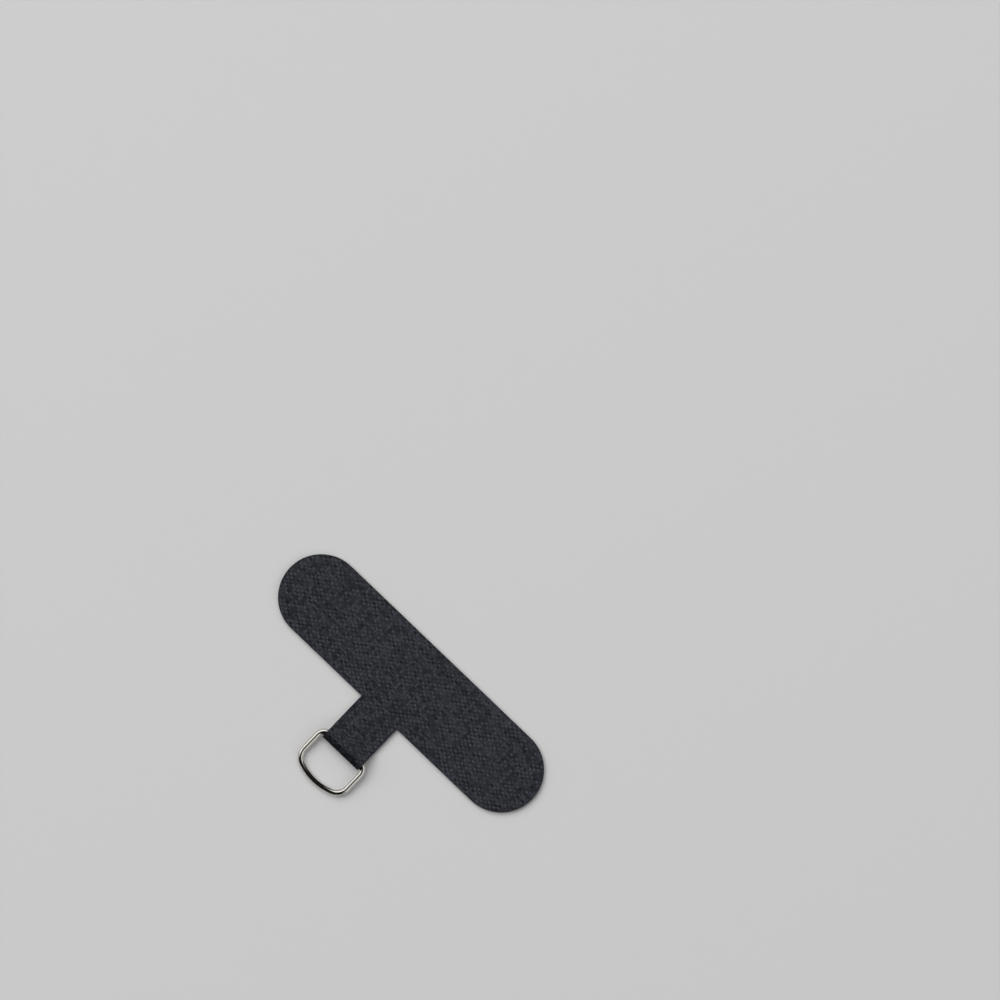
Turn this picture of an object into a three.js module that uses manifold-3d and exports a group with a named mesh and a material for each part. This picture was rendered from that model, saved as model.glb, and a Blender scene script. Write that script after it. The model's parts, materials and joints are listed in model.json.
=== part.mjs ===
// Lanyard patch for a phone: a T of black woven fabric, folded round the bar of a wire D-ring.
// X runs along the crossbar, the tab points toward -Y, +Z is up.
// The origin is on the underside, at the middle of the crossbar. Everything is in millimetres.

import * as THREE from 'three';
import { mergeVertices } from 'three/addons/utils/BufferGeometryUtils.js';
import Module from 'manifold-3d';

const wasm = await Module();
wasm.setup();

// Driving dimensions of the fabric
const crossbarLength = 70;
const crossbarWidth = 18;
const layerThickness = 0.5;
const tabWidth = 10.2;
// Middle of the tab along X. It sits a little off the middle of the crossbar.
const tabOffset = -0.6;
// From the crossbar's edge to the outside of the fold
const tabReach = 11.85;
// From the middle of the bar to where the two layers meet again
const pinchDistance = 4.2;
// How far the fabric holds its direction at either end of that stretch, as a share of it
const rampStiffness = 0.45;

// Driving dimensions of the wire ring, with radii and reach on the wire's centre line
const wireDiameter = 1.3;
const ringReach = 9.35;
const barCornerRadius = 1.8;
const bowCornerRadius = 3;
const bowRadius = 12;
// The bent wire's two ends stop short of each other, in the middle of the bar
const wireEndGap = 0.3;

// Clearances
const wireClearance = 0.2;
const armClearance = 0.4;

// Fineness of the facets. A round stretch gets two facets for each of a shape's curve segments.
const facetsPerSegment = 2;
const endArcFacets = 48;
const loopArcFacets = 24;
const rampFacets = 14;
const wireSides = 16;
const wireSteps = 120;
const wirePathSamples = 1200;

// Sizes that follow from the driving dimensions
const patchThickness = 2 * layerThickness;
const crossbarEnd = crossbarWidth / 2;
const wireRadius = wireDiameter / 2;
const ringHalfWidth = tabWidth / 2 + armClearance + wireRadius;

// The wire has begun to bend where it leaves the tab's sides, so the loop is wider by that much
const bendInsideLoop = Math.max(0, tabWidth / 2 - (ringHalfWidth - barCornerRadius));
const bendRise = barCornerRadius - Math.sqrt(barCornerRadius ** 2 - bendInsideLoop ** 2);
const loopInnerRadius = wireRadius + bendRise + wireClearance;
const loopOuterRadius = loopInnerRadius + layerThickness;

// The bar's centre line, which the ring swings about
const barY = -crossbarEnd - tabReach + loopOuterRadius;
const barZ = loopOuterRadius;
// At rest the bow lies on the same surface as the fabric
const restTilt = Math.asin((barZ - wireRadius) / ringReach);

function toSolid(geometry) {
  const bare = geometry.clone();
  bare.deleteAttribute('normal');
  bare.deleteAttribute('uv');
  const merged = mergeVertices(bare);
  return new wasm.Manifold(new wasm.Mesh({
    numProp: 3,
    vertProperties: new Float32Array(merged.attributes.position.array),
    triVerts: new Uint32Array(merged.index.array),
  }));
}

function toGeometry(solid) {
  const mesh = solid.getMesh();
  const geometry = new THREE.BufferGeometry();
  geometry.setAttribute('position', new THREE.BufferAttribute(mesh.vertProperties, 3));
  geometry.setIndex(new THREE.BufferAttribute(mesh.triVerts, 1));
  geometry.computeVertexNormals();
  return geometry;
}

// The crossbar: both layers bonded flat, with a half round at each end

function crossbarSolid() {
  const straight = crossbarLength / 2 - crossbarEnd;
  const outline = new THREE.Shape();
  outline.absarc(straight, 0, crossbarEnd, -Math.PI / 2, Math.PI / 2, false);
  outline.absarc(-straight, 0, crossbarEnd, Math.PI / 2, 1.5 * Math.PI, false);
  const slab = new THREE.ExtrudeGeometry(outline, {
    depth: patchThickness,
    bevelEnabled: false,
    curveSegments: endArcFacets / facetsPerSegment,
  });
  return toSolid(slab);
}

// The upper face from the top of the loop down to where the layers meet, in the Y and Z plane

function rampCurve() {
  const pinchY = barY + pinchDistance;
  const top = barZ + loopOuterRadius;
  const handle = rampStiffness * pinchDistance;
  return new THREE.CubicBezierCurve(
    new THREE.Vector2(barY, top),
    new THREE.Vector2(barY + handle, top),
    new THREE.Vector2(pinchY - handle, patchThickness),
    new THREE.Vector2(pinchY, patchThickness),
  );
}

// Points on the ramp, or at a depth below its surface

function rampPoints(depth) {
  const ramp = rampCurve();
  const points = [];
  for (let i = 1; i <= rampFacets; i += 1) {
    const at = i / rampFacets;
    const surface = ramp.getPoint(at);
    const along = ramp.getTangent(at);
    points.push(new THREE.Vector2(surface.x + along.y * depth, surface.y - along.x * depth));
  }
  return points;
}

// The tab: its side outline, with the drop-shaped passage for the bar, drawn out to the tab's width.
// The lower layer is flat, and the upper layer comes over the bar and down to meet it.

function tabSolid() {
  const side = new THREE.Shape();
  side.absarc(barY, barZ, loopOuterRadius, -Math.PI / 2, Math.PI / 2, true);
  for (const point of rampPoints(0)) {
    side.lineTo(point.x, point.y);
  }
  side.lineTo(0, patchThickness);
  side.lineTo(0, 0);

  // The passage is drawn the other way round from the outline, from the pinch up and over the bar
  const passage = new THREE.Path(rampPoints(layerThickness).reverse());
  passage.absarc(barY, barZ, loopInnerRadius, Math.PI / 2, 1.5 * Math.PI, false);
  side.holes.push(passage);

  const tab = new THREE.ExtrudeGeometry(side, {
    depth: tabWidth,
    bevelEnabled: false,
    curveSegments: loopArcFacets / facetsPerSegment,
  });
  const standUp = new THREE.Matrix4().makeBasis(
    new THREE.Vector3(0, 1, 0),
    new THREE.Vector3(0, 0, 1),
    new THREE.Vector3(1, 0, 0),
  );
  tab.applyMatrix4(standUp);
  tab.translate(tabOffset - tabWidth / 2, 0, 0);
  return toSolid(tab);
}

// The ring's centre line in its own plane: the bar on the X axis, the bow toward -Y

function ringOutline() {
  const barBend = ringHalfWidth - barCornerRadius;
  const bowCentreY = bowRadius - ringReach;
  const cornerX = ringHalfWidth - bowCornerRadius;
  const cornerY = bowCentreY - Math.sqrt((bowRadius - bowCornerRadius) ** 2 - cornerX ** 2);
  const cornerTurn = Math.atan2(cornerY - bowCentreY, cornerX);

  const outline = new THREE.Path();
  outline.moveTo(wireEndGap / 2, 0);
  outline.lineTo(barBend, 0);
  outline.absarc(barBend, -barCornerRadius, barCornerRadius, Math.PI / 2, 0, true);
  outline.lineTo(ringHalfWidth, cornerY);
  outline.absarc(cornerX, cornerY, bowCornerRadius, 0, cornerTurn, true);
  outline.absarc(0, bowCentreY, bowRadius, cornerTurn, -Math.PI - cornerTurn, true);
  outline.absarc(-cornerX, cornerY, bowCornerRadius, -Math.PI - cornerTurn, -Math.PI, true);
  outline.lineTo(-ringHalfWidth, -barCornerRadius);
  outline.absarc(-barBend, -barCornerRadius, barCornerRadius, Math.PI, Math.PI / 2, true);
  outline.lineTo(-wireEndGap / 2, 0);
  return outline;
}

// A flat path lifted into space, for the wire to follow

class WirePath extends THREE.Curve {
  constructor(outline) {
    super();
    this.outline = outline;
    this.arcLengthDivisions = wirePathSamples;
  }

  getPoint(t, target = new THREE.Vector3()) {
    const point = this.outline.getPoint(t);
    return target.set(point.x, point.y, 0);
  }
}

function ringGeometry() {
  const section = new THREE.Shape();
  section.absarc(0, 0, wireRadius, 0, 2 * Math.PI, false);
  return new THREE.ExtrudeGeometry(section, {
    steps: wireSteps,
    curveSegments: wireSides / facetsPerSegment,
    extrudePath: new WirePath(ringOutline()),
  });
}

const fabric = new THREE.MeshStandardMaterial({ color: 0x303136, roughness: 0.95, metalness: 0 });
const polishedWire = new THREE.MeshStandardMaterial({ color: 0xcfccc4, roughness: 0.15, metalness: 1 });

const patch = new THREE.Mesh(toGeometry(crossbarSolid().add(tabSolid())), fabric);
patch.name = 'fabric_patch';

const ring = new THREE.Mesh(ringGeometry(), polishedWire);
ring.name = 'd_ring';
ring.position.set(tabOffset, barY, barZ);
ring.rotation.x = restTilt;

const lanyardPatch = new THREE.Group();
lanyardPatch.add(patch, ring);

export default lanyardPatch;
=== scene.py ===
import json
import math

import bpy
import numpy as np
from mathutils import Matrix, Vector

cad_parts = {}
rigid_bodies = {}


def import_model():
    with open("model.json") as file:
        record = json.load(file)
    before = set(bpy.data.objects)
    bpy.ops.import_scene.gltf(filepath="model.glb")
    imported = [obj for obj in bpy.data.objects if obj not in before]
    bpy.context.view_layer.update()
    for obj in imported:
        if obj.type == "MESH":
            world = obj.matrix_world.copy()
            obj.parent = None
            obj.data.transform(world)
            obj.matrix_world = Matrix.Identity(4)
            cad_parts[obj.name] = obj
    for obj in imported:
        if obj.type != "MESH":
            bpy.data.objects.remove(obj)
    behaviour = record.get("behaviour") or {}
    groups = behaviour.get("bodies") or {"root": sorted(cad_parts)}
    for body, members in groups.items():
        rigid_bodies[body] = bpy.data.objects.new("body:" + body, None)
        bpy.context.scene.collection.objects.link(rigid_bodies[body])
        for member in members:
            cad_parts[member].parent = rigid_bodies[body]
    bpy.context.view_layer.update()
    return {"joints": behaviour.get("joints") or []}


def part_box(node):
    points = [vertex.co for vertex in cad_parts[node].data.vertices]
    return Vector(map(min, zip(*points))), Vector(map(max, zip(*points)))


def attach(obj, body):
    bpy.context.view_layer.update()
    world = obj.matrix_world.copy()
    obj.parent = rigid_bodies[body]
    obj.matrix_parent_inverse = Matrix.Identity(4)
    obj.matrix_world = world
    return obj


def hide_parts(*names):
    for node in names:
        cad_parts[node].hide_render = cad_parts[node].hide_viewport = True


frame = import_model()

# A lanyard patch for a phone: black plain-woven fabric, folded round the bar of a wire D-ring.
# Metres, in the part's own frame: X along the crossbar, the tab toward -Y, +Z up.

MM = 0.001

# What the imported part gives
patch_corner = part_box("fabric_patch")[1]
TAB_X, BAR_Y, BAR_Z = frame["joints"][0]["pos_m"]
HALF_LENGTH = patch_corner.x
HALF_WIDTH = patch_corner.y
LOOP_RADIUS = BAR_Z

# The fabric's other sizes, as the part has them
LAYER = 0.5 * MM
TAB_WIDTH = 10.2 * MM
PINCH = 4.2 * MM
RAMP_STIFFNESS = 0.45
# Each layer stops short of the other by half of this
LAYER_GAP = 0.03 * MM

# The weave: yarns along Y are spaced along X, and yarns along X are spaced along Y
YARN_STEP_X = 0.70 * MM
YARN_STEP_Y = 0.50 * MM
COLUMNS_PER_YARN = 4
ROWS_PER_YARN = 3
CRIMP = 0.055 * MM
YARN_ROUNDING = 0.085 * MM

# How far the yarns wander in the plane of the cloth: in broad waves, and each yarn by itself
WAVE_X = 0.05 * MM
WAVE_Y = 0.04 * MM
YARN_WANDER_X = 0.08 * MM
YARN_WANDER_Y = 0.025 * MM
# This far inside the cut edge they wander in full, and on the edge they don't
WANDER_FREE = 1.2 * MM

# The cut edges: how far in they are rounded, how far they drop and how much they flatten the weave
EDGE_ROUND = 0.16 * MM
EDGE_DROP = 0.07 * MM
EDGE_FLATTENING = 0.7
# They bulge most at this share of a layer's depth, and step back at its inner face
BULGE_DEPTH = 0.55
EDGE_BULGE = 0.02 * MM
EDGE_INSET = 0.07 * MM
EDGE_ROUGH = 0.02 * MM

# How far from the nose of the fold the painted shade is full, and how far it reaches at all
FOLD_SHADE_FULL_WITHIN = 1.1 * MM
FOLD_SHADE_REACH = 3.4 * MM

# The ring, on its wire's centre line
WIRE_RADIUS = 0.65 * MM
ARM_CLEARANCE = 0.4 * MM
RING_REACH = 9.35 * MM
RING_HALF_WIDTH = TAB_WIDTH / 2 + ARM_CLEARANCE + WIRE_RADIUS
BAR_CORNER = 1.8 * MM
BOW_CORNER = 3 * MM
BOW_RADIUS = 12 * MM
WIRE_END_GAP = 0.3 * MM
WIRE_END_ROUND = 0.12 * MM
WIRE_END_STEPS = 5
WIRE_STEP = 0.1 * MM
WIRE_SIDES = 40

# The photograph's framing: its scale, and where the middle of the crossbar lies in it
PHOTO_SIDE = 1000
PIXELS_PER_MM = 4.786
PATCH_PIXEL_X = 410.5
PATCH_PIXEL_Y = 682.9
PATCH_TURN = math.atan2(0.6914, 0.7225)
CAMERA_HEIGHT = 1.5
SENSOR = 36.0

# The lamps' brightness, where 1 is white
KEY = 1.45
FILL = 0.9
OVERHEAD = 1.95

# The backdrop's brightness, as it lights things and as it is seen or mirrored
BACKDROP_LIGHT = 0.3
BACKDROP_SEEN = 0.8

# The stage, with half sizes
FLOOR_HALF = 4.0
FLOOR_TONE = 0.62
CEILING_HALF = 18.0
CEILING_HEIGHT = 3.4
CEILING_TONE = 0.02

# The cloth's greys, with blue this much brighter than red, and the fibre ends' faint blue over them; the
# gap greys are painted shade between the yarns
BLUE = 1.15
FLOAT_TONE = 0.036
GAP_SHADE_Y_YARNS = 0.021
GAP_SHADE_X_YARNS = 0.005
CUT_TONE = 0.018
FIBRE_ENDS = (0.0, 0.0004, 0.0033, 1.0)

# The nickel plate's darkest and lightest shades
NICKEL_DARK = (0.56, 0.54, 0.5, 1)
NICKEL_LIGHT = (0.68, 0.66, 0.62, 1)

SEED = 11


def smooth_noise(x, y, cells, seed):
    """Soft noise from -1 to 1 at points x and y, which count in cells of the noise's own lattice."""
    table = np.random.default_rng(seed).uniform(-1, 1, (cells, cells))
    i, j = np.floor(x).astype(int), np.floor(y).astype(int)
    a, b = x - i, y - j
    a, b = a * a * (3 - 2 * a), b * b * (3 - 2 * b)
    i, j, i2, j2 = i % cells, j % cells, (i + 1) % cells, (j + 1) % cells
    low = table[i, j] * (1 - a) + table[i2, j] * a
    high = table[i, j2] * (1 - a) + table[i2, j2] * a
    return low * (1 - b) + high * b


def polygon_area(points):
    x, y = points[:, 0], points[:, 1]
    return 0.5 * abs(np.dot(x, np.roll(y, -1)) - np.dot(y, np.roll(x, -1)))


class SheetProfile:
    """The outer face of the folded sheet, seen along X, as a line of length `total`.

    It starts at the far edge of the upper face, runs along the tab, round the bar and back underneath.
    """

    STEPS = 1500

    def __init__(self):
        top = 2 * LAYER
        pinch_y = BAR_Y + PINCH
        flat = self.line((HALF_WIDTH, top), (pinch_y, top))
        handle = RAMP_STIFFNESS * PINCH
        crest = BAR_Z + LOOP_RADIUS
        ramp = self.bezier(
            (pinch_y, top), (pinch_y - handle, top), (BAR_Y + handle, crest), (BAR_Y, crest)
        )
        turn = np.linspace(math.pi / 2, 1.5 * math.pi, self.STEPS)
        loop = np.stack(
            [BAR_Y + LOOP_RADIUS * np.cos(turn), BAR_Z + LOOP_RADIUS * np.sin(turn)], 1
        )
        under = self.line((BAR_Y, 0), (HALF_WIDTH, 0))
        self.points = np.concatenate([flat, ramp[1:], loop[1:], under[1:]])
        steps = np.linalg.norm(np.diff(self.points, axis=0), axis=1)
        self.at = np.concatenate([[0], np.cumsum(steps)])
        self.total = self.at[-1]
        along = np.gradient(self.points, self.at, axis=0)
        self.along = along / np.linalg.norm(along, axis=1)[:, None]

    def line(self, start, end):
        share = np.linspace(0, 1, self.STEPS)[:, None]
        return np.array(start) * (1 - share) + np.array(end) * share

    def bezier(self, p0, p1, p2, p3):
        t = np.linspace(0, 1, self.STEPS)[:, None]
        p0, p1, p2, p3 = (np.array(p) for p in (p0, p1, p2, p3))
        return (1 - t) ** 3 * p0 + 3 * t * (1 - t) ** 2 * p1 + 3 * t * t * (1 - t) * p2 + t**3 * p3

    def place(self, s):
        """Points, directions along the sheet and outward normals, each as (y, z), at distances s."""
        point = np.stack([np.interp(s, self.at, self.points[:, k]) for k in (0, 1)], 1)
        along = np.stack([np.interp(s, self.at, self.along[:, k]) for k in (0, 1)], 1)
        along /= np.linalg.norm(along, axis=1)[:, None]
        normal = np.stack([along[:, 1], -along[:, 0]], 1)
        return point, along, normal

    def pressed(self, s):
        """How strong the painted shade over the fold is at distances s, from 1 at the nose of the fold down
        to 0.
        """
        nose = self.at[np.argmin(self.points[:, 0])]
        share = np.clip((abs(s - nose) - FOLD_SHADE_FULL_WITHIN) / (FOLD_SHADE_REACH - FOLD_SHADE_FULL_WITHIN), 0, 1)
        return 1 - share * share * (3 - 2 * share)


class SheetGrid:
    """The unrolled sheet, two Ts joined at the ends of their tabs, cut into cells that follow the yarns."""

    # A corner this near the rounded outline is moved onto it, so that no sliver is left
    SNAP = 0.045 * MM
    ON_OUTLINE = 1e-9

    def __init__(self, profile):
        self.total = profile.total
        width = 2 * HALF_WIDTH
        bar_rows = ROWS_PER_YARN * round(width / YARN_STEP_Y)
        tab_length = self.total - 2 * width
        tab_rows = ROWS_PER_YARN * round(tab_length / YARN_STEP_Y)
        columns = COLUMNS_PER_YARN * round(2 * HALF_LENGTH / YARN_STEP_X)
        self.row_at = np.concatenate(
            [
                np.linspace(0, width, bar_rows + 1),
                np.linspace(width, width + tab_length, tab_rows + 1)[1:],
                np.linspace(width + tab_length, self.total, bar_rows + 1)[1:],
            ]
        )
        self.tab_first, self.tab_last = bar_rows, bar_rows + tab_rows
        self.column_at = np.linspace(-HALF_LENGTH, HALF_LENGTH, columns + 1)
        self.left, self.right = (
            int(np.argmin(abs(self.column_at - (TAB_X + side * TAB_WIDTH / 2)))) for side in (-1, 1)
        )
        self.column_at[self.left] = TAB_X - TAB_WIDTH / 2
        self.column_at[self.right] = TAB_X + TAB_WIDTH / 2
        self.flat = []
        self.faces = []
        self.ids = {}
        self.fill_cells()
        self.flat = np.array(self.flat)
        self.loop = self.walk_outline()

    def fold_out(self, s):
        """How far from the crossbar's middle line, toward the tab, a distance along the sheet lies."""
        return np.minimum(s, self.total - s) - HALF_WIDTH

    def round_end_gap(self, x, v):
        """How far inside the crossbar's rounded outline a point lies."""
        return HALF_WIDTH - np.hypot(np.maximum(abs(x) - (HALF_LENGTH - HALF_WIDTH), 0), v)

    def vertex(self, key, x, s):
        if key not in self.ids:
            self.ids[key] = len(self.flat)
            self.flat.append((x, s))
        return self.ids[key]

    def corner(self, r, c):
        """The vertex at a grid corner, or None outside the outline."""
        x, s = self.column_at[c], self.row_at[r]
        if abs(x) <= HALF_LENGTH - HALF_WIDTH or self.tab_first < r < self.tab_last:
            return self.vertex((r, c), x, s)
        v = self.fold_out(s)
        gap = self.round_end_gap(x, v)
        if gap < -self.SNAP:
            return None
        if gap < self.SNAP:
            middle = math.copysign(HALF_LENGTH - HALF_WIDTH, x)
            pull = HALF_WIDTH / math.hypot(x - middle, v)
            x, moved = middle + (x - middle) * pull, v * pull
            s += (moved - v) * (1 if s < self.total / 2 else -1)
        return self.vertex((r, c), x, s)

    def crossing(self, start, end):
        """The vertex where the rounded outline crosses the grid line between two corners."""
        (r0, c0), (r1, c1) = sorted((start, end))
        x, s = self.column_at[c0], self.row_at[r0]
        middle = math.copysign(HALF_LENGTH - HALF_WIDTH, x)
        if r0 == r1:
            v = self.fold_out(s)
            x = middle + math.copysign(math.sqrt(HALF_WIDTH**2 - v * v), x)
        else:
            v = math.sqrt(HALF_WIDTH**2 - (x - middle) ** 2)
            s0, s1 = self.row_at[r0], self.row_at[r1]
            v = math.copysign(v, self.fold_out((s0 + s1) / 2))
            s = v + HALF_WIDTH if s0 < self.total / 2 else self.total - v - HALF_WIDTH
        return self.vertex((r0, c0, r1, c1), x, s)

    def fill_cells(self):
        """Makes a face of each cell inside the outline, and of the part inside of each cell on it."""
        for r in range(len(self.row_at) - 1):
            in_tab = self.tab_first <= r < self.tab_last
            cells = range(self.left, self.right) if in_tab else range(len(self.column_at) - 1)
            for c in cells:
                around = [(r, c), (r + 1, c), (r + 1, c + 1), (r, c + 1)]
                made = [self.corner(*key) for key in around]
                if any(v is not None for v in made):
                    self.faces.append(self.clipped(around, made))
        self.faces = [face for face in self.faces if len(face) > 2]

    def clipped(self, around, made):
        """A cell's vertices in order, with the outline's crossings in place of corners outside it."""
        face = []
        for k in range(4):
            here, after = made[k], made[(k + 1) % 4]
            if here is not None:
                face.append(here)
            if (here is None) != (after is None) and not self.on_outline(made, k):
                face.append(self.crossing(around[k], around[(k + 1) % 4]))
        return face

    def on_outline(self, made, k):
        """Whether the inner end of a side is a corner that was moved onto the outline."""
        inner = made[k] if made[k] is not None else made[(k + 1) % 4]
        x, s = self.flat[inner]
        return abs(self.round_end_gap(x, self.fold_out(s))) < self.ON_OUTLINE

    def walk_outline(self):
        """The outline's vertices in order, with the sheet on the left as seen from outside."""
        sides = {(f[k], f[(k + 1) % len(f)]) for f in self.faces for k in range(len(f))}
        after = {a: b for a, b in sides if (b, a) not in sides}
        start = here = min(after)
        loop = []
        while True:
            loop.append(here)
            here = after[here]
            if here == start:
                return loop

    def area(self):
        return sum(polygon_area(self.flat[face]) for face in self.faces)

    def edge_distance(self):
        """How far each vertex lies from the sheet's cut edge."""
        x, v = self.flat[:, 0], self.fold_out(self.flat[:, 1])
        bar = self.round_end_gap(x, v)
        tab = np.where(v > 0, TAB_WIDTH / 2 - abs(x - TAB_X), -1)
        return np.maximum(bar, tab)

    def yarn_places(self):
        """Each vertex's place counted in yarns, along X and along the sheet."""
        columns, rows = np.arange(len(self.column_at)), np.arange(len(self.row_at))
        u = np.interp(self.flat[:, 0], self.column_at, columns / COLUMNS_PER_YARN)
        v = np.interp(self.flat[:, 1], self.row_at, rows / ROWS_PER_YARN)
        return u, v


def weave_height(u, v):
    """The height of a plain weave, 0 at its highest crowns, at places counted in yarns."""
    i, j = np.floor(u).astype(int), np.floor(v).astype(int)
    a, b = u - i, v - j
    crowns = np.random.default_rng(SEED).uniform(0.75, 1.15, (i.max() + 2, j.max() + 2))[i, j]
    over = np.where((i + j) % 2 == 0, 1, -1) * crowns
    section = [np.sqrt(np.maximum(1 - (2 * w - 1) ** 2, 0)) - 1 for w in (a, b)]
    along_y = CRIMP * over * np.sin(math.pi * b) + YARN_ROUNDING * section[0]
    along_x = -CRIMP * over * np.sin(math.pi * a) + YARN_ROUNDING * section[1]
    return np.maximum(along_y, along_x) - CRIMP


def woven_relief(u, v):
    """The weave's height, taking the higher of the yarns that meet at each grid line."""
    nudge = 1e-4
    sides = [
        weave_height(np.maximum(u + du, 0), np.maximum(v + dv, 0))
        for du in (-nudge, nudge)
        for dv in (-nudge, nudge)
    ]
    return np.minimum(np.max(sides, axis=0), 0)


def yarn_wander(u, v, inside):
    """How far each place, counted in yarns, is moved in the plane of the cloth."""
    wave_x = WAVE_X * smooth_noise(u / 4, v / 5, 61, SEED + 1)
    yarn_x = YARN_WANDER_X * smooth_noise(np.round(u * 2) / 2, v / 9, 211, SEED + 2)
    wave_y = WAVE_Y * smooth_noise(u / 5, v / 4, 61, SEED + 3)
    yarn_y = YARN_WANDER_Y * smooth_noise(u / 9, np.round(v * 2) / 2, 211, SEED + 4)
    free = np.clip(inside / WANDER_FREE, 0, 1)
    return np.stack([(wave_x + yarn_x) * free, (wave_y + yarn_y) * free], 1)


def in_space(profile, flat, outward, sideways):
    """Places in the part's frame for points of the unrolled sheet, moved outward and in its plane."""
    point, along, normal = profile.place(flat[:, 1])
    place = np.zeros((len(flat), 3))
    place[:, 0] = flat[:, 0] + sideways[:, 0]
    place[:, 1:] = point + normal * np.broadcast_to(outward, len(flat))[:, None]
    place[:, 1:] -= along * sideways[:, 1:]
    return place


def rim_lines(profile, grid):
    """The outline again, where the cut edge bulges most and where it meets the sheet's inner face."""
    flat = grid.flat[grid.loop]
    plane = flat * (1, -1)
    direction = np.roll(plane, -1, 0) - np.roll(plane, 1, 0)
    direction /= np.linalg.norm(direction, axis=1)[:, None]
    out = np.stack([direction[:, 1], -direction[:, 0]], 1)
    ragged = EDGE_ROUGH * np.random.default_rng(SEED + 5).uniform(-1, 1, len(flat))[:, None]
    depth = LAYER - LAYER_GAP / 2
    bulge = in_space(profile, flat, -BULGE_DEPTH * depth, out * (EDGE_BULGE + ragged))
    inner = in_space(profile, flat, -depth, -out * EDGE_INSET)
    return bulge, inner


def rim_faces(loop, bulge_id, inner_id):
    """The cut edge, as two strips all round the sheet."""
    faces = []
    for here, after in zip(loop, loop[1:] + loop[:1]):
        faces.append([after, here, bulge_id[here], bulge_id[after]])
        faces.append([bulge_id[after], bulge_id[here], inner_id[here], inner_id[after]])
    return faces


def ladder(points, lower, upper):
    """Triangles between two chains of points that both run from left to right and share their ends."""
    faces = []
    i = j = 0
    while i < len(lower) - 1 or j < len(upper) - 1:
        at_end = j == len(upper) - 1
        if at_end or (i < len(lower) - 1 and points[lower[i + 1]][0] <= points[upper[j + 1]][0]):
            face = [lower[i], lower[i + 1], upper[j]]
            i += 1
        else:
            face = [lower[i], upper[j + 1], upper[j]]
            j += 1
        if len(set(face)) == 3:
            faces.append(face)
    return faces


def inner_faces(grid, inner_id):
    """The sheet's inner face: strips across the tab, and a flat fill of the crossbar at either end."""
    faces = []
    left = [grid.ids[r, grid.left] for r in range(grid.tab_first, grid.tab_last + 1)]
    right = [grid.ids[r, grid.right] for r in range(grid.tab_first, grid.tab_last + 1)]
    for k in range(len(left) - 1):
        faces.append([left[k], left[k + 1], right[k + 1], right[k]])
    for start, end in ((right[0], left[0]), (left[-1], right[-1])):
        begin = grid.loop.index(start)
        turned = grid.loop[begin:] + grid.loop[:begin]
        chain = turned[: turned.index(end) + 1]
        begin = min(range(len(chain)), key=lambda k: grid.flat[chain[k]][0])
        chain = chain[begin:] + chain[:begin]
        tip = max(range(len(chain)), key=lambda k: grid.flat[chain[k]][0])
        faces += ladder(grid.flat, chain[: tip + 1], chain[:1] + chain[: tip - 1 : -1])
    return [[inner_id[k] for k in reversed(face)] for face in faces]


def fabric_mesh(profile, grid):
    """The folded sheet as one closed mesh: vertices, faces, and the values that its material reads."""
    u, v = grid.yarn_places()
    inside = grid.edge_distance()
    at_edge = np.exp(-((inside / EDGE_ROUND) ** 2))
    outward = woven_relief(u, v) * (1 - EDGE_FLATTENING * at_edge) - EDGE_DROP * at_edge
    outer = in_space(profile, grid.flat, outward, yarn_wander(u, v, inside))
    bulge, inner = rim_lines(profile, grid)

    count, rim = len(outer), len(grid.loop)
    bulge_id = dict(zip(grid.loop, range(count, count + rim)))
    inner_id = dict(zip(grid.loop, range(count + rim, count + 2 * rim)))
    faces = grid.faces + rim_faces(grid.loop, bulge_id, inner_id) + inner_faces(grid, inner_id)

    # Both lines of the rim take the values of the outline that they follow
    source = np.concatenate([np.arange(count), grid.loop, grid.loop])
    values = {
        "yarn_place": np.stack([u, v, np.zeros(count)], 1)[source],
        "cut_edge": np.concatenate([at_edge, np.ones(2 * rim)]),
        # How strong the painted shade over the fold is at each vertex
        "pressed": profile.pressed(grid.flat[source, 1]),
    }
    return np.concatenate([outer, bulge, inner]), faces, values


def new_object(name, vertices, faces):
    mesh = bpy.data.meshes.new(name)
    mesh.from_pydata([tuple(p) for p in vertices], [], faces)
    mesh.shade_smooth()
    made = bpy.data.objects.new(name, mesh)
    bpy.context.scene.collection.objects.link(made)
    return made


def store_values(mesh, name, values):
    kind, field = ("FLOAT", "value") if values.ndim == 1 else ("FLOAT_VECTOR", "vector")
    mesh.attributes.new(name, kind, "POINT").data.foreach_set(field, values.ravel())


def mark_corner(mesh, loop):
    """Marks a closed line of vertices as a real corner, so that its shading isn't smoothed over."""
    ends = np.zeros(2 * len(mesh.edges), int)
    mesh.edges.foreach_get("vertices", ends)
    ends = np.sort(ends.reshape(-1, 2), axis=1)
    line = np.sort(np.stack([loop, np.roll(loop, -1)], 1), axis=1)
    count = len(mesh.vertices)
    sharp = np.isin(ends[:, 0] * count + ends[:, 1], line[:, 0] * count + line[:, 1])
    mesh.attributes.new("sharp_edge", "BOOLEAN", "EDGE").data.foreach_set("value", sharp)


def make_fabric():
    """The folded sheet, with its length and area when unrolled."""
    profile = SheetProfile()
    grid = SheetGrid(profile)
    vertices, faces, values = fabric_mesh(profile, grid)
    made = new_object("folded_fabric", vertices, faces)
    for name in values:
        store_values(made.data, name, values[name])
    mark_corner(made.data, grid.loop)
    return made, profile.total, grid.area()


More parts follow.
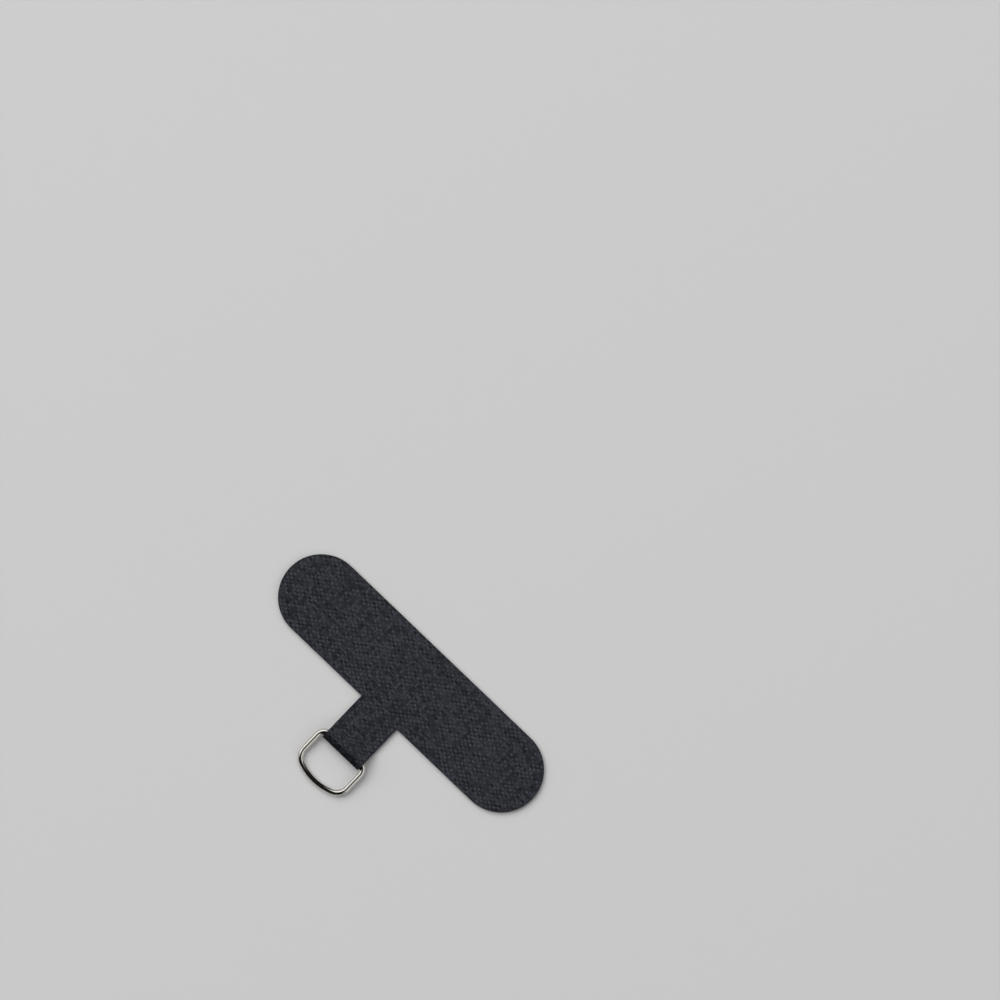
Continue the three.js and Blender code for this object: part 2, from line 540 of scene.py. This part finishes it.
def ring_line():
    """Points and directions on the ring's centre line, in its own plane, from one wire end to the other."""
    bar_bend = RING_HALF_WIDTH - BAR_CORNER
    bow_y = BOW_RADIUS - RING_REACH
    corner_x = RING_HALF_WIDTH - BOW_CORNER
    corner_y = bow_y - math.sqrt((BOW_RADIUS - BOW_CORNER) ** 2 - corner_x**2)
    corner_turn = math.atan2(corner_y - bow_y, corner_x)
    points, directions = [], []

    def add_line(x0, y0, x1, y1):
        length = math.hypot(x1 - x0, y1 - y0)
        count = math.ceil(length / WIRE_STEP)
        for k in range(count):
            share = k / count
            points.append((x0 + (x1 - x0) * share, y0 + (y1 - y0) * share))
            directions.append(((x1 - x0) / length, (y1 - y0) / length))

    def add_arc(x, y, radius, start, end):
        count = math.ceil(radius * abs(end - start) / WIRE_STEP)
        for k in range(count):
            turn = start + (end - start) * k / count
            points.append((x + radius * math.cos(turn), y + radius * math.sin(turn)))
            directions.append((math.sin(turn), -math.cos(turn)))

    wire_end = WIRE_END_GAP / 2 + WIRE_END_ROUND
    add_line(wire_end, 0, bar_bend, 0)
    add_arc(bar_bend, -BAR_CORNER, BAR_CORNER, math.pi / 2, 0)
    add_line(RING_HALF_WIDTH, -BAR_CORNER, RING_HALF_WIDTH, corner_y)
    add_arc(corner_x, corner_y, BOW_CORNER, 0, corner_turn)
    add_arc(0, bow_y, BOW_RADIUS, corner_turn, -math.pi - corner_turn)
    add_arc(-corner_x, corner_y, BOW_CORNER, -math.pi - corner_turn, -math.pi)
    add_line(-RING_HALF_WIDTH, corner_y, -RING_HALF_WIDTH, -BAR_CORNER)
    add_arc(-bar_bend, -BAR_CORNER, BAR_CORNER, math.pi, math.pi / 2)
    add_line(-bar_bend, 0, -wire_end, 0)
    points.append((-wire_end, 0))
    directions.append((1, 0))
    return np.array(points), np.array(directions)


def wire_sections():
    """The centre, direction and radius of each section of the wire, with its two ends rounded over."""
    centre, direction = ring_line()
    turns = np.linspace(0, math.pi / 2, WIRE_END_STEPS + 1)[:-1]
    beyond = WIRE_END_ROUND * np.cos(turns)[:, None]
    thinner = WIRE_RADIUS - WIRE_END_ROUND * (1 - np.sin(turns))
    first = centre[0] - direction[0] * beyond
    last = centre[-1] + direction[-1] * beyond[::-1]
    radius = np.concatenate([thinner, np.full(len(centre), WIRE_RADIUS), thinner[::-1]])
    at_first = np.repeat(direction[:1], WIRE_END_STEPS, 0)
    at_last = np.repeat(direction[-1:], WIRE_END_STEPS, 0)
    centre = np.concatenate([first, centre, last])
    direction = np.concatenate([at_first, direction, at_last])
    return centre, direction, radius


def make_ring():
    """The bent wire, swept along its line, with its bow lying on the surface that the fabric lies on."""
    centre, direction, radius = wire_sections()
    angles = np.arange(WIRE_SIDES) * 2 * math.pi / WIRE_SIDES
    across = np.stack([direction[:, 1], -direction[:, 0]], 1)
    reach = np.outer(radius, np.cos(angles))
    x = centre[:, :1] + reach * across[:, :1]
    y = centre[:, 1:] + reach * across[:, 1:]
    z = np.outer(radius, np.sin(angles))
    tilt = math.asin((BAR_Z - WIRE_RADIUS) / RING_REACH)
    vertices = np.stack(
        [
            TAB_X + x,
            BAR_Y + y * math.cos(tilt) - z * math.sin(tilt),
            BAR_Z + y * math.sin(tilt) + z * math.cos(tilt),
        ],
        2,
    ).reshape(-1, 3)

    faces = []
    for k in range(len(centre) - 1):
        here, after = k * WIRE_SIDES, (k + 1) * WIRE_SIDES
        for n in range(WIRE_SIDES):
            m = (n + 1) % WIRE_SIDES
            faces.append([here + n, after + n, after + m, here + m])
    end = (len(centre) - 1) * WIRE_SIDES
    faces.append(list(range(WIRE_SIDES)))
    faces.append(list(range(end, end + WIRE_SIDES))[::-1])
    return new_object("polished_ring", vertices, faces)


class Nodes:
    """Short calls for building a node tree."""

    def __init__(self, tree):
        self.tree = tree
        tree.nodes.clear()

    def add(self, kind, **settings):
        made = self.tree.nodes.new(kind)
        for name, value in settings.items():
            setattr(made, name, value)
        return made

    def plug(self, source, socket):
        if isinstance(source, bpy.types.NodeSocket):
            self.tree.links.new(source, socket)
        else:
            socket.default_value = source

    def math(self, operation, *values):
        made = self.add("ShaderNodeMath", operation=operation)
        for value, socket in zip(values, made.inputs):
            self.plug(value, socket)
        return made.outputs[0]

    def mix(self, share, first, second, blend="MIX"):
        made = self.add("ShaderNodeMix", data_type="RGBA", blend_type=blend)
        self.plug(share, made.inputs["Factor"])
        self.plug(first, made.inputs[6])
        self.plug(second, made.inputs[7])
        return made.outputs[2]

    def blend_values(self, share, first, second):
        made = self.add("ShaderNodeMix", data_type="FLOAT")
        self.plug(share, made.inputs["Factor"])
        self.plug(first, made.inputs[2])
        self.plug(second, made.inputs[3])
        return made.outputs[0]

    def vary(self, value, noise, swing, start):
        """A value times a factor that goes from start to start + swing as noise goes from 0 to 1."""
        return self.math("MULTIPLY", value, self.math("MULTIPLY_ADD", noise, swing, start))

    def off_middle(self, share):
        """How far a share from 0 to 1 lies from its middle, as 0 to 1."""
        return self.math("ABSOLUTE", self.math("MULTIPLY_ADD", share, 2.0, -1.0))

    def attribute(self, name, output):
        return self.add("ShaderNodeAttribute", attribute_name=name).outputs[output]

    def noise(self, vector, scale, detail=2.0):
        made = self.add("ShaderNodeTexNoise")
        self.plug(vector, made.inputs["Vector"])
        made.inputs["Scale"].default_value = scale
        made.inputs["Detail"].default_value = detail
        return made.outputs["Fac"]

    def streaks(self, x, y, scale_x, scale_y):
        """Soft noise from 0 to 1 that is drawn out along one axis."""
        place = self.add("ShaderNodeCombineXYZ")
        self.plug(self.math("MULTIPLY", x, scale_x), place.inputs[0])
        self.plug(self.math("MULTIPLY", y, scale_y), place.inputs[1])
        place.inputs[2].default_value = scale_x
        return self.noise(place.outputs[0], 1.0)

    def chance(self, x, y):
        """A random number from 0 to 1 for each whole-numbered place."""
        place = self.add("ShaderNodeCombineXYZ")
        self.plug(x, place.inputs[0])
        self.plug(y, place.inputs[1])
        made = self.add("ShaderNodeTexWhiteNoise", noise_dimensions="3D")
        self.plug(place.outputs[0], made.inputs["Vector"])
        return made.outputs["Value"]

    def shader(self, colour, roughness, **settings):
        """A main shader joined to the material's output. Underscores in settings stand for spaces."""
        made = self.add("ShaderNodeBsdfPrincipled")
        self.plug(colour, made.inputs["Base Color"])
        self.plug(roughness, made.inputs["Roughness"])
        for name, value in settings.items():
            self.plug(value, made.inputs[name.replace("_", " ")])
        output = self.add("ShaderNodeOutputMaterial")
        self.plug(made.outputs[0], output.inputs[0])
        return made

    def bump(self, shader, height, distance, strength):
        made = self.add("ShaderNodeBump")
        self.plug(height, made.inputs["Height"])
        made.inputs["Distance"].default_value = distance
        made.inputs["Strength"].default_value = strength
        self.plug(made.outputs[0], shader.inputs["Normal"])


def grey(value):
    """One of the cloth's greys, a little brighter in blue than in red."""
    return (value, value * (1 + (BLUE - 1) * 0.2), value * BLUE, 1.0)


def new_material(name):
    made = bpy.data.materials.new(name)
    made.use_nodes = True
    return made, Nodes(made.node_tree)


class YarnNodes:
    """The parts of the cloth's material that follow its yarns, all read from each point's yarn place."""

    def __init__(self, n):
        self.n = n
        self.place = n.attribute("yarn_place", "Vector")
        split = n.add("ShaderNodeSeparateXYZ")
        n.plug(self.place, split.inputs[0])
        self.u, self.v = split.outputs[0], split.outputs[1]
        self.i, self.j = n.math("FLOOR", self.u), n.math("FLOOR", self.v)
        self.a, self.b = n.math("FRACT", self.u), n.math("FRACT", self.v)
        # 0 where the yarn along Y is on top, and 1 where the yarn along X is
        self.across = n.math("MODULO", n.math("ADD", self.i, self.j), 2.0)
        self.crossing = n.chance(self.i, self.j)
        self.height = self.make_height()
        self.filament = self.make_filament()
        self.fibres = self.along_yarns(13.0, 10.0, 1.6)

    def by_yarn(self, along_y, along_x):
        return self.n.blend_values(self.across, along_y, along_x)

    def along_yarns(self, across_y_yarn, across_x_yarn, along):
        """Soft noise drawn out along whichever yarn is on top."""
        along_y = self.n.streaks(self.u, self.v, across_y_yarn, along)
        along_x = self.n.streaks(self.u, self.v, along, across_x_yarn)
        return self.by_yarn(along_y, along_x)

    def make_height(self):
        """Each yarn is flat on top, drops off at its sides, and dips where it goes under the next one."""
        n = self.n
        side_a, side_b = n.off_middle(self.a), n.off_middle(self.b)
        width = self.by_yarn(side_a, side_b)
        length = self.by_yarn(side_b, side_a)
        back = n.math("SUBTRACT", 1.0, n.math("POWER", width, 8.0))
        dip = n.math("SUBTRACT", 1.0, n.math("MULTIPLY", n.math("POWER", length, 3.0), 0.25))
        return n.math("MULTIPLY", back, dip)

    def make_filament(self):
        """Fine filaments run along each yarn with a slight twist."""
        n = self.n
        wander = n.noise(self.place, 1.7)
        twist_y = n.math("ADD", n.math("MULTIPLY", self.a, 6.0), n.math("MULTIPLY", self.b, 1.3))
        twist_x = n.math("ADD", n.math("MULTIPLY", self.b, 5.0), n.math("MULTIPLY", self.a, 1.3))
        strands = n.math("ADD", self.by_yarn(twist_y, twist_x), n.math("MULTIPLY", wander, 3.0))
        return n.math("SINE", n.math("MULTIPLY", strands, 2 * math.pi))

    def light(self):
        """Uneven yarns: each float, each yarn and each patch of cloth is a little lighter or darker;
        painted light makes the yarns along Y lighter, and painted shade darkens the fold.
        """
        n = self.n
        yarn = self.by_yarn(n.chance(self.i, 900.5), n.chance(901.5, self.j))
        light = n.math("MULTIPLY_ADD", self.crossing, 1.0, 0.49)
        light = n.vary(light, yarn, 0.5, 0.75)
        light = n.vary(light, self.along_yarns(1.3, 1.3, 0.45), 1.1, 0.45)
        light = n.vary(light, n.noise(self.place, 0.16, 3.0), 0.2, 0.9)
        light = n.vary(light, self.filament, 0.08, 1.0)
        light = n.vary(light, self.fibres, 1.1, 0.45)
        # Painted light: the yarns along Y are lighter and the yarns along X darker, as the side lamps from
        # -X and +X would light them
        light = n.math("MULTIPLY", light, self.by_yarn(1.16, 0.68))
        light = n.math("SMOOTH_MIN", light, 1.3, 0.4)
        light = n.vary(light, n.streaks(self.u, self.v, 2.6, 2.2), 2.4, -0.19)

        # Painted shade: round the bar the cloth's colour is darkened toward the nose of the fold
        pressed = n.attribute("pressed", "Fac")
        darker = n.math("MULTIPLY", pressed, n.math("MULTIPLY_ADD", self.crossing, 0.34, -1.0))
        return n.math("MULTIPLY", light, n.math("ADD", darker, 1.0))


def woven_material():
    """Charcoal plain weave: flat yarns with painted shade in the gaps between them, and painted light that
    makes the ones along Y lighter than the others.
    """
    material, n = new_material("woven_fabric")
    yarns = YarnNodes(n)
    # Painted shade: the gaps between the yarns are darker, darkest where the yarn along X is on top
    gap = n.mix(yarns.across, grey(GAP_SHADE_Y_YARNS), grey(GAP_SHADE_X_YARNS))
    shade = n.mix(yarns.height, gap, grey(FLOAT_TONE))
    light = yarns.light()
    lit = n.add("ShaderNodeCombineXYZ")
    for socket in lit.inputs:
        n.plug(light, socket)
    colour = n.mix(1.0, shade, lit.outputs[0], "MULTIPLY")
    # Loose fibre ends lay the same faint blue over light and dark places
    colour = n.mix(1.0, colour, FIBRE_ENDS, "ADD")
    cut = n.attribute("cut_edge", "Fac")
    colour = n.mix(n.math("MULTIPLY", cut, 0.6), colour, grey(CUT_TONE))

    roughness = n.math("MULTIPLY_ADD", yarns.crossing, 0.15, 0.72)
    shader = n.shader(
        colour, roughness, Specular_IOR_Level=0.12, Sheen_Weight=0.03, Sheen_Roughness=0.5
    )
    strands = n.math("MULTIPLY_ADD", yarns.filament, 0.06, n.math("MULTIPLY", yarns.fibres, 0.5))
    n.bump(shader, n.math("ADD", yarns.height, strands), distance=0.03 * MM, strength=0.6)
    return material


def wire_material():
    """Polished nickel plate, with faint waves from bending and a few fine rubs."""
    material, n = new_material("polished_wire")
    where = n.add("ShaderNodeTexCoord").outputs["Object"]
    waves = n.noise(where, 900, 2.0)
    rubs = n.noise(where, 5200, 3.0)
    tone = n.mix(rubs, NICKEL_DARK, NICKEL_LIGHT)
    shader = n.shader(tone, n.math("MULTIPLY_ADD", rubs, 0.12, 0.08), Metallic=1.0)
    n.bump(shader, n.math("MULTIPLY_ADD", rubs, 0.15, waves), distance=0.01 * MM, strength=0.6)
    return material


def matt_material(name, tone):
    material, n = new_material(name)
    n.shader((tone, tone, tone, 1), 0.9, Specular_IOR_Level=0.1)
    return material


def make_plane(name, half, height):
    outline = ((-half, -half), (half, -half), (half, half), (-half, half))
    return new_object(name, [(x, y, height) for x, y in outline], [[0, 1, 2, 3]])


def make_stage():
    """A pale floor, and far overhead a dark ceiling, which the metal mirrors and the camera doesn't see."""
    floor = make_plane("floor", FLOOR_HALF, 0.0)
    floor.data.materials.append(matt_material("pale_floor", FLOOR_TONE))
    ceiling = make_plane("ceiling", CEILING_HALF, CEILING_HEIGHT)
    ceiling.data.materials.append(matt_material("dark_ceiling", CEILING_TONE))
    ceiling.visible_camera = False
    ceiling.visible_shadow = False


def make_world():
    """A pale backdrop, which gives the object little light."""
    world = bpy.data.worlds.new("studio")
    world.use_nodes = True
    bpy.context.scene.world = world
    n = Nodes(world.node_tree)
    path = n.add("ShaderNodeLightPath")
    seen = n.math("MAXIMUM", path.outputs["Is Camera Ray"], path.outputs["Is Glossy Ray"])
    seen = n.math("MAXIMUM", seen, path.outputs["Is Transmission Ray"])
    background = n.add("ShaderNodeBackground")
    background.inputs["Color"].default_value = (1, 1, 1, 1)
    strength = n.blend_values(seen, BACKDROP_LIGHT, BACKDROP_SEEN)
    n.plug(strength, background.inputs["Strength"])
    output = n.add("ShaderNodeOutputWorld")
    n.plug(background.outputs[0], output.inputs[0])


def make_softbox(name, azimuth, from_vertical, distance, size, radiance):
    """A soft lamp aimed at the patch. azimuth turns from +X toward +Y."""
    width, height = size
    data = bpy.data.lights.new(name, "AREA")
    data.shape = "RECTANGLE"
    data.size, data.size_y = width, height
    data.energy = radiance * math.pi * width * height
    lamp = bpy.data.objects.new(name, data)
    bpy.context.scene.collection.objects.link(lamp)
    up = math.radians(90 - from_vertical)
    turn = math.radians(azimuth)
    back = Vector((math.cos(turn) * math.cos(up), math.sin(turn) * math.cos(up), math.sin(up)))
    lamp.location = Vector((0, BAR_Y / 2, 0)) + back * distance
    lamp.rotation_mode = "QUATERNION"
    lamp.rotation_quaternion = back.to_track_quat("Z", "Y")
    lamp.visible_camera = False
    return lamp


def make_lights():
    """Softboxes at the two sides, which the wire mirrors, and a soft light overhead, which it doesn't."""
    make_softbox("key", azimuth=170, from_vertical=47, distance=2.4, size=(4.4, 2.1), radiance=KEY)
    make_softbox("fill", azimuth=15, from_vertical=47, distance=2.4, size=(3.2, 2.1), radiance=FILL)
    overhead = make_softbox(
        "overhead", azimuth=172, from_vertical=28, distance=3.0, size=(3.2, 3.2), radiance=OVERHEAD
    )
    overhead.visible_glossy = False


def make_camera():
    """Straight above, turned and placed so that the patch lies in the frame as in the photograph."""
    data = bpy.data.cameras.new("camera")
    data.sensor_width = SENSOR
    field = PHOTO_SIDE / PIXELS_PER_MM * MM
    data.lens = SENSOR * CAMERA_HEIGHT / field
    data.clip_start, data.clip_end = 0.01, 10
    camera = bpy.data.objects.new("camera", data)
    bpy.context.scene.collection.objects.link(camera)
    middle = (PHOTO_SIDE - 1) / 2
    right = (middle - PATCH_PIXEL_X) / PIXELS_PER_MM * MM
    up = (PATCH_PIXEL_Y - middle) / PIXELS_PER_MM * MM
    camera.location = (
        right * math.cos(PATCH_TURN) - up * math.sin(PATCH_TURN),
        right * math.sin(PATCH_TURN) + up * math.cos(PATCH_TURN),
        CAMERA_HEIGHT + 2 * LAYER,
    )
    camera.rotation_euler = (0, 0, PATCH_TURN)
    bpy.context.scene.camera = camera


make_camera()
make_stage()
make_world()
make_lights()
bpy.context.scene.view_settings.view_transform = "Standard"

fabric, sheet_length, sheet_area = make_fabric()
fabric.data.materials.append(woven_material())
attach(fabric, "patch")
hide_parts("fabric_patch")

ring = make_ring()
ring.data.materials.append(wire_material())
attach(ring, "ring")
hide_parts("d_ring")
